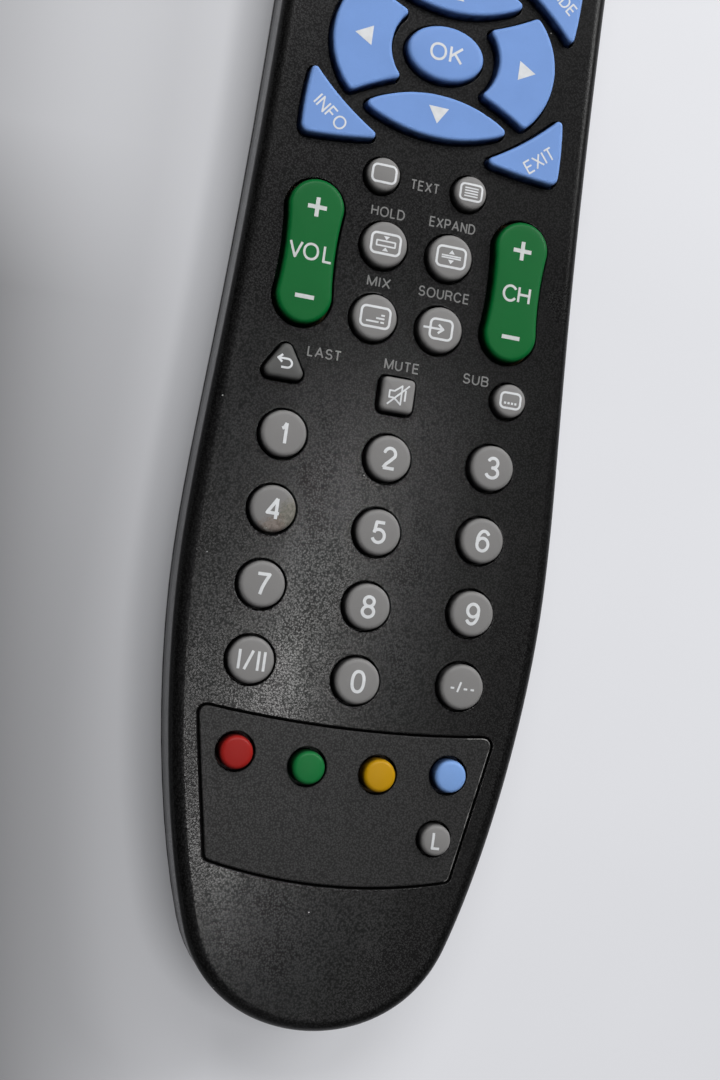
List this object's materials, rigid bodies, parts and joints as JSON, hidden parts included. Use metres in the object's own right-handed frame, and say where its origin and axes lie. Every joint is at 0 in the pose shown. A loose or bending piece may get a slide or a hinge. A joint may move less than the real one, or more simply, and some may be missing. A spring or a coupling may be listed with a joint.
{
  "type": "universal remote control",
  "caption": "Hand-held infrared remote control: waisted black housing in two shells, silicone keys that travel, two rocker keys and a hinged battery door on the back.",
  "frame": {"origin": "middle of the flat back, halfway between the tail and the infrared nose", "axes": "+X to the right seen from the front, +Y along the length to the infrared nose, +Z out of the back through the keys"},
  "size_m": [0.0618, 0.222, 0.0228],
  "materials": {
    "housing": "moulded black plastic with a fine grain",
    "window": "dark infrared-clear plastic",
    "inlay": "dark plate with a finer, flatter grain",
    "mat": "silicone sheet",
    "board": "paper-based circuit board",
    "emitter": "tinted emitter resin",
    "lamp": "red lamp resin",
    "chip": "black moulding compound",
    "resonator": "dipped ceramic",
    "capacitor": "sleeved can",
    "cell": "plain printed jacket on a metal can",
    "contact": "nickel plated spring steel",
    "screw": "zinc plated steel",
    "key_red": "satin silicone",
    "key_grey": "satin silicone",
    "key_blue": "satin silicone",
    "key_deep_green": "satin silicone",
    "key_green": "satin silicone",
    "key_yellow": "satin silicone",
    "key_light_blue": "satin silicone"
  },
  "bodies": {
    "housing": {"top_shell": "housing", "bottom_shell": "housing", "ir_window": "window", "inlay_panel": "inlay", "keypad_mat": "mat", "circuit_board": "board", "ir_emitters": "emitter", "indicator_lamp": "lamp", "controller_chip": "chip", "resonator": "resonator", "capacitor": "capacitor", "battery_right": "cell", "battery_left": "cell", "contact_spring": "contact", "contact_plate": "contact", "contact_bridge": "contact", "case_screws": "screw"},
    "battery_door": {"battery_door": "housing"},
    "key_power": {"key_power": "key_red"},
    "key_device_1": {"key_device_1": "key_grey"},
    "key_device_2": {"key_device_2": "key_grey"},
    "key_device_3": {"key_device_3": "key_grey"},
    "key_device_4": {"key_device_4": "key_grey"},
    "key_menu": {"key_menu": "key_blue"},
    "key_guide": {"key_guide": "key_blue"},
    "key_info": {"key_info": "key_blue"},
    "key_exit": {"key_exit": "key_blue"},
    "key_ok": {"key_ok": "key_blue"},
    "key_up": {"key_up": "key_blue"},
    "key_down": {"key_down": "key_blue"},
    "key_left": {"key_left": "key_blue"},
    "key_right": {"key_right": "key_blue"},
    "key_page_off": {"key_page_off": "key_grey"},
    "key_page_on": {"key_page_on": "key_grey"},
    "key_hold": {"key_hold": "key_grey"},
    "key_expand": {"key_expand": "key_grey"},
    "key_mix": {"key_mix": "key_grey"},
    "key_source": {"key_source": "key_grey"},
    "rocker_volume": {"rocker_volume": "key_deep_green"},
    "rocker_channel": {"rocker_channel": "key_deep_green"},
    "key_last": {"key_last": "key_grey"},
    "key_mute": {"key_mute": "key_grey"},
    "key_subtitle": {"key_subtitle": "key_grey"},
    "key_1": {"key_1": "key_grey"},
    "key_2": {"key_2": "key_grey"},
    "key_3": {"key_3": "key_grey"},
    "key_4": {"key_4": "key_grey"},
    "key_5": {"key_5": "key_grey"},
    "key_6": {"key_6": "key_grey"},
    "key_7": {"key_7": "key_grey"},
    "key_8": {"key_8": "key_grey"},
    "key_9": {"key_9": "key_grey"},
    "key_dual": {"key_dual": "key_grey"},
    "key_0": {"key_0": "key_grey"},
    "key_two_digit": {"key_two_digit": "key_grey"},
    "key_red": {"key_red": "key_red"},
    "key_green": {"key_green": "key_green"},
    "key_yellow": {"key_yellow": "key_yellow"},
    "key_cyan": {"key_cyan": "key_light_blue"},
    "key_learn": {"key_learn": "key_grey"}
  },
  "joints": [
    {"name": "door_hinge", "type": "hinge", "parent": "housing", "child": "battery_door", "pos_m": [0, -0.067, 0.0011], "axis": [-1, 0, 0], "range_deg": [0, 70]},
    {"name": "press_power", "type": "slide", "parent": "housing", "child": "key_power", "axis": [0, 0, -1], "range_m": [0, 0.001], "stiffness_N_per_m": 400},
    {"name": "press_device_1", "type": "slide", "parent": "housing", "child": "key_device_1", "axis": [0, 0, -1], "range_m": [0, 0.001], "stiffness_N_per_m": 400},
    {"name": "press_device_2", "type": "slide", "parent": "housing", "child": "key_device_2", "axis": [0, 0, -1], "range_m": [0, 0.001], "stiffness_N_per_m": 400},
    {"name": "press_device_3", "type": "slide", "parent": "housing", "child": "key_device_3", "axis": [0, 0, -1], "range_m": [0, 0.001], "stiffness_N_per_m": 400},
    {"name": "press_device_4", "type": "slide", "parent": "housing", "child": "key_device_4", "axis": [0, 0, -1], "range_m": [0, 0.001], "stiffness_N_per_m": 400},
    {"name": "press_menu", "type": "slide", "parent": "housing", "child": "key_menu", "axis": [0, 0, -1], "range_m": [0, 0.001], "stiffness_N_per_m": 400},
    {"name": "press_guide", "type": "slide", "parent": "housing", "child": "key_guide", "axis": [0, 0, -1], "range_m": [0, 0.001], "stiffness_N_per_m": 400},
    {"name": "press_info", "type": "slide", "parent": "housing", "child": "key_info", "axis": [0, 0, -1], "range_m": [0, 0.001], "stiffness_N_per_m": 400},
    {"name": "press_exit", "type": "slide", "parent": "housing", "child": "key_exit", "axis": [0, 0, -1], "range_m": [0, 0.001], "stiffness_N_per_m": 400},
    {"name": "press_ok", "type": "slide", "parent": "housing", "child": "key_ok", "axis": [0, 0, -1], "range_m": [0, 0.001], "stiffness_N_per_m": 400},
    {"name": "press_up", "type": "slide", "parent": "housing", "child": "key_up", "axis": [0, 0, -1], "range_m": [0, 0.001], "stiffness_N_per_m": 400},
    {"name": "press_down", "type": "slide", "parent": "housing", "child": "key_down", "axis": [0, 0, -1], "range_m": [0, 0.001], "stiffness_N_per_m": 400},
    {"name": "press_left", "type": "slide", "parent": "housing", "child": "key_left", "axis": [0, 0, -1], "range_m": [0, 0.001], "stiffness_N_per_m": 400},
    {"name": "press_right", "type": "slide", "parent": "housing", "child": "key_right", "axis": [0, 0, -1], "range_m": [0, 0.001], "stiffness_N_per_m": 400},
    {"name": "press_page_off", "type": "slide", "parent": "housing", "child": "key_page_off", "axis": [0, 0, -1], "range_m": [0, 0.001], "stiffness_N_per_m": 400},
    {"name": "press_page_on", "type": "slide", "parent": "housing", "child": "key_page_on", "axis": [0, 0, -1], "range_m": [0, 0.001], "stiffness_N_per_m": 400},
    {"name": "press_hold", "type": "slide", "parent": "housing", "child": "key_hold", "axis": [0, 0, -1], "range_m": [0, 0.001], "stiffness_N_per_m": 400},
    {"name": "press_expand", "type": "slide", "parent": "housing", "child": "key_expand", "axis": [0, 0, -1], "range_m": [0, 0.001], "stiffness_N_per_m": 400},
    {"name": "press_mix", "type": "slide", "parent": "housing", "child": "key_mix", "axis": [0, 0, -1], "range_m": [0, 0.001], "stiffness_N_per_m": 400},
    {"name": "press_source", "type": "slide", "parent": "housing", "child": "key_source", "axis": [0, 0, -1], "range_m": [0, 0.001], "stiffness_N_per_m": 400},
    {"name": "volume_tilt", "type": "hinge", "parent": "housing", "child": "rocker_volume", "pos_m": [-0.01745, 0.0123, 0.0178], "axis": [1, 0, 0], "range_deg": [-4, 4], "stiffness_Nm_per_rad": 0.1},
    {"name": "channel_tilt", "type": "hinge", "parent": "housing", "child": "rocker_channel", "pos_m": [0.01745, 0.0123, 0.0178], "axis": [1, 0, 0], "range_deg": [-4, 4], "stiffness_Nm_per_rad": 0.1},
    {"name": "press_last", "type": "slide", "parent": "housing", "child": "key_last", "axis": [0, 0, -1], "range_m": [0, 0.001], "stiffness_N_per_m": 400},
    {"name": "press_mute", "type": "slide", "parent": "housing", "child": "key_mute", "axis": [0, 0, -1], "range_m": [0, 0.001], "stiffness_N_per_m": 400},
    {"name": "press_subtitle", "type": "slide", "parent": "housing", "child": "key_subtitle", "axis": [0, 0, -1], "range_m": [0, 0.001], "stiffness_N_per_m": 400},
    {"name": "press_1", "type": "slide", "parent": "housing", "child": "key_1", "axis": [0, 0, -1], "range_m": [0, 0.001], "stiffness_N_per_m": 400},
    {"name": "press_2", "type": "slide", "parent": "housing", "child": "key_2", "axis": [0, 0, -1], "range_m": [0, 0.001], "stiffness_N_per_m": 400},
    {"name": "press_3", "type": "slide", "parent": "housing", "child": "key_3", "axis": [0, 0, -1], "range_m": [0, 0.001], "stiffness_N_per_m": 400},
    {"name": "press_4", "type": "slide", "parent": "housing", "child": "key_4", "axis": [0, 0, -1], "range_m": [0, 0.001], "stiffness_N_per_m": 400},
    {"name": "press_5", "type": "slide", "parent": "housing", "child": "key_5", "axis": [0, 0, -1], "range_m": [0, 0.001], "stiffness_N_per_m": 400},
    {"name": "press_6", "type": "slide", "parent": "housing", "child": "key_6", "axis": [0, 0, -1], "range_m": [0, 0.001], "stiffness_N_per_m": 400},
    {"name": "press_7", "type": "slide", "parent": "housing", "child": "key_7", "axis": [0, 0, -1], "range_m": [0, 0.001], "stiffness_N_per_m": 400},
    {"name": "press_8", "type": "slide", "parent": "housing", "child": "key_8", "axis": [0, 0, -1], "range_m": [0, 0.001], "stiffness_N_per_m": 400},
    {"name": "press_9", "type": "slide", "parent": "housing", "child": "key_9", "axis": [0, 0, -1], "range_m": [0, 0.001], "stiffness_N_per_m": 400},
    {"name": "press_dual", "type": "slide", "parent": "housing", "child": "key_dual", "axis": [0, 0, -1], "range_m": [0, 0.001], "stiffness_N_per_m": 400},
    {"name": "press_0", "type": "slide", "parent": "housing", "child": "key_0", "axis": [0, 0, -1], "range_m": [0, 0.001], "stiffness_N_per_m": 400},
    {"name": "press_two_digit", "type": "slide", "parent": "housing", "child": "key_two_digit", "axis": [0, 0, -1], "range_m": [0, 0.001], "stiffness_N_per_m": 400},
    {"name": "press_red", "type": "slide", "parent": "housing", "child": "key_red", "axis": [0, 0, -1], "range_m": [0, 0.001], "stiffness_N_per_m": 400},
    {"name": "press_green", "type": "slide", "parent": "housing", "child": "key_green", "axis": [0, 0, -1], "range_m": [0, 0.001], "stiffness_N_per_m": 400},
    {"name": "press_yellow", "type": "slide", "parent": "housing", "child": "key_yellow", "axis": [0, 0, -1], "range_m": [0, 0.001], "stiffness_N_per_m": 400},
    {"name": "press_cyan", "type": "slide", "parent": "housing", "child": "key_cyan", "axis": [0, 0, -1], "range_m": [0, 0.001], "stiffness_N_per_m": 400},
    {"name": "press_learn", "type": "slide", "parent": "housing", "child": "key_learn", "axis": [0, 0, -1], "range_m": [0, 0.001], "stiffness_N_per_m": 400}
  ]
}
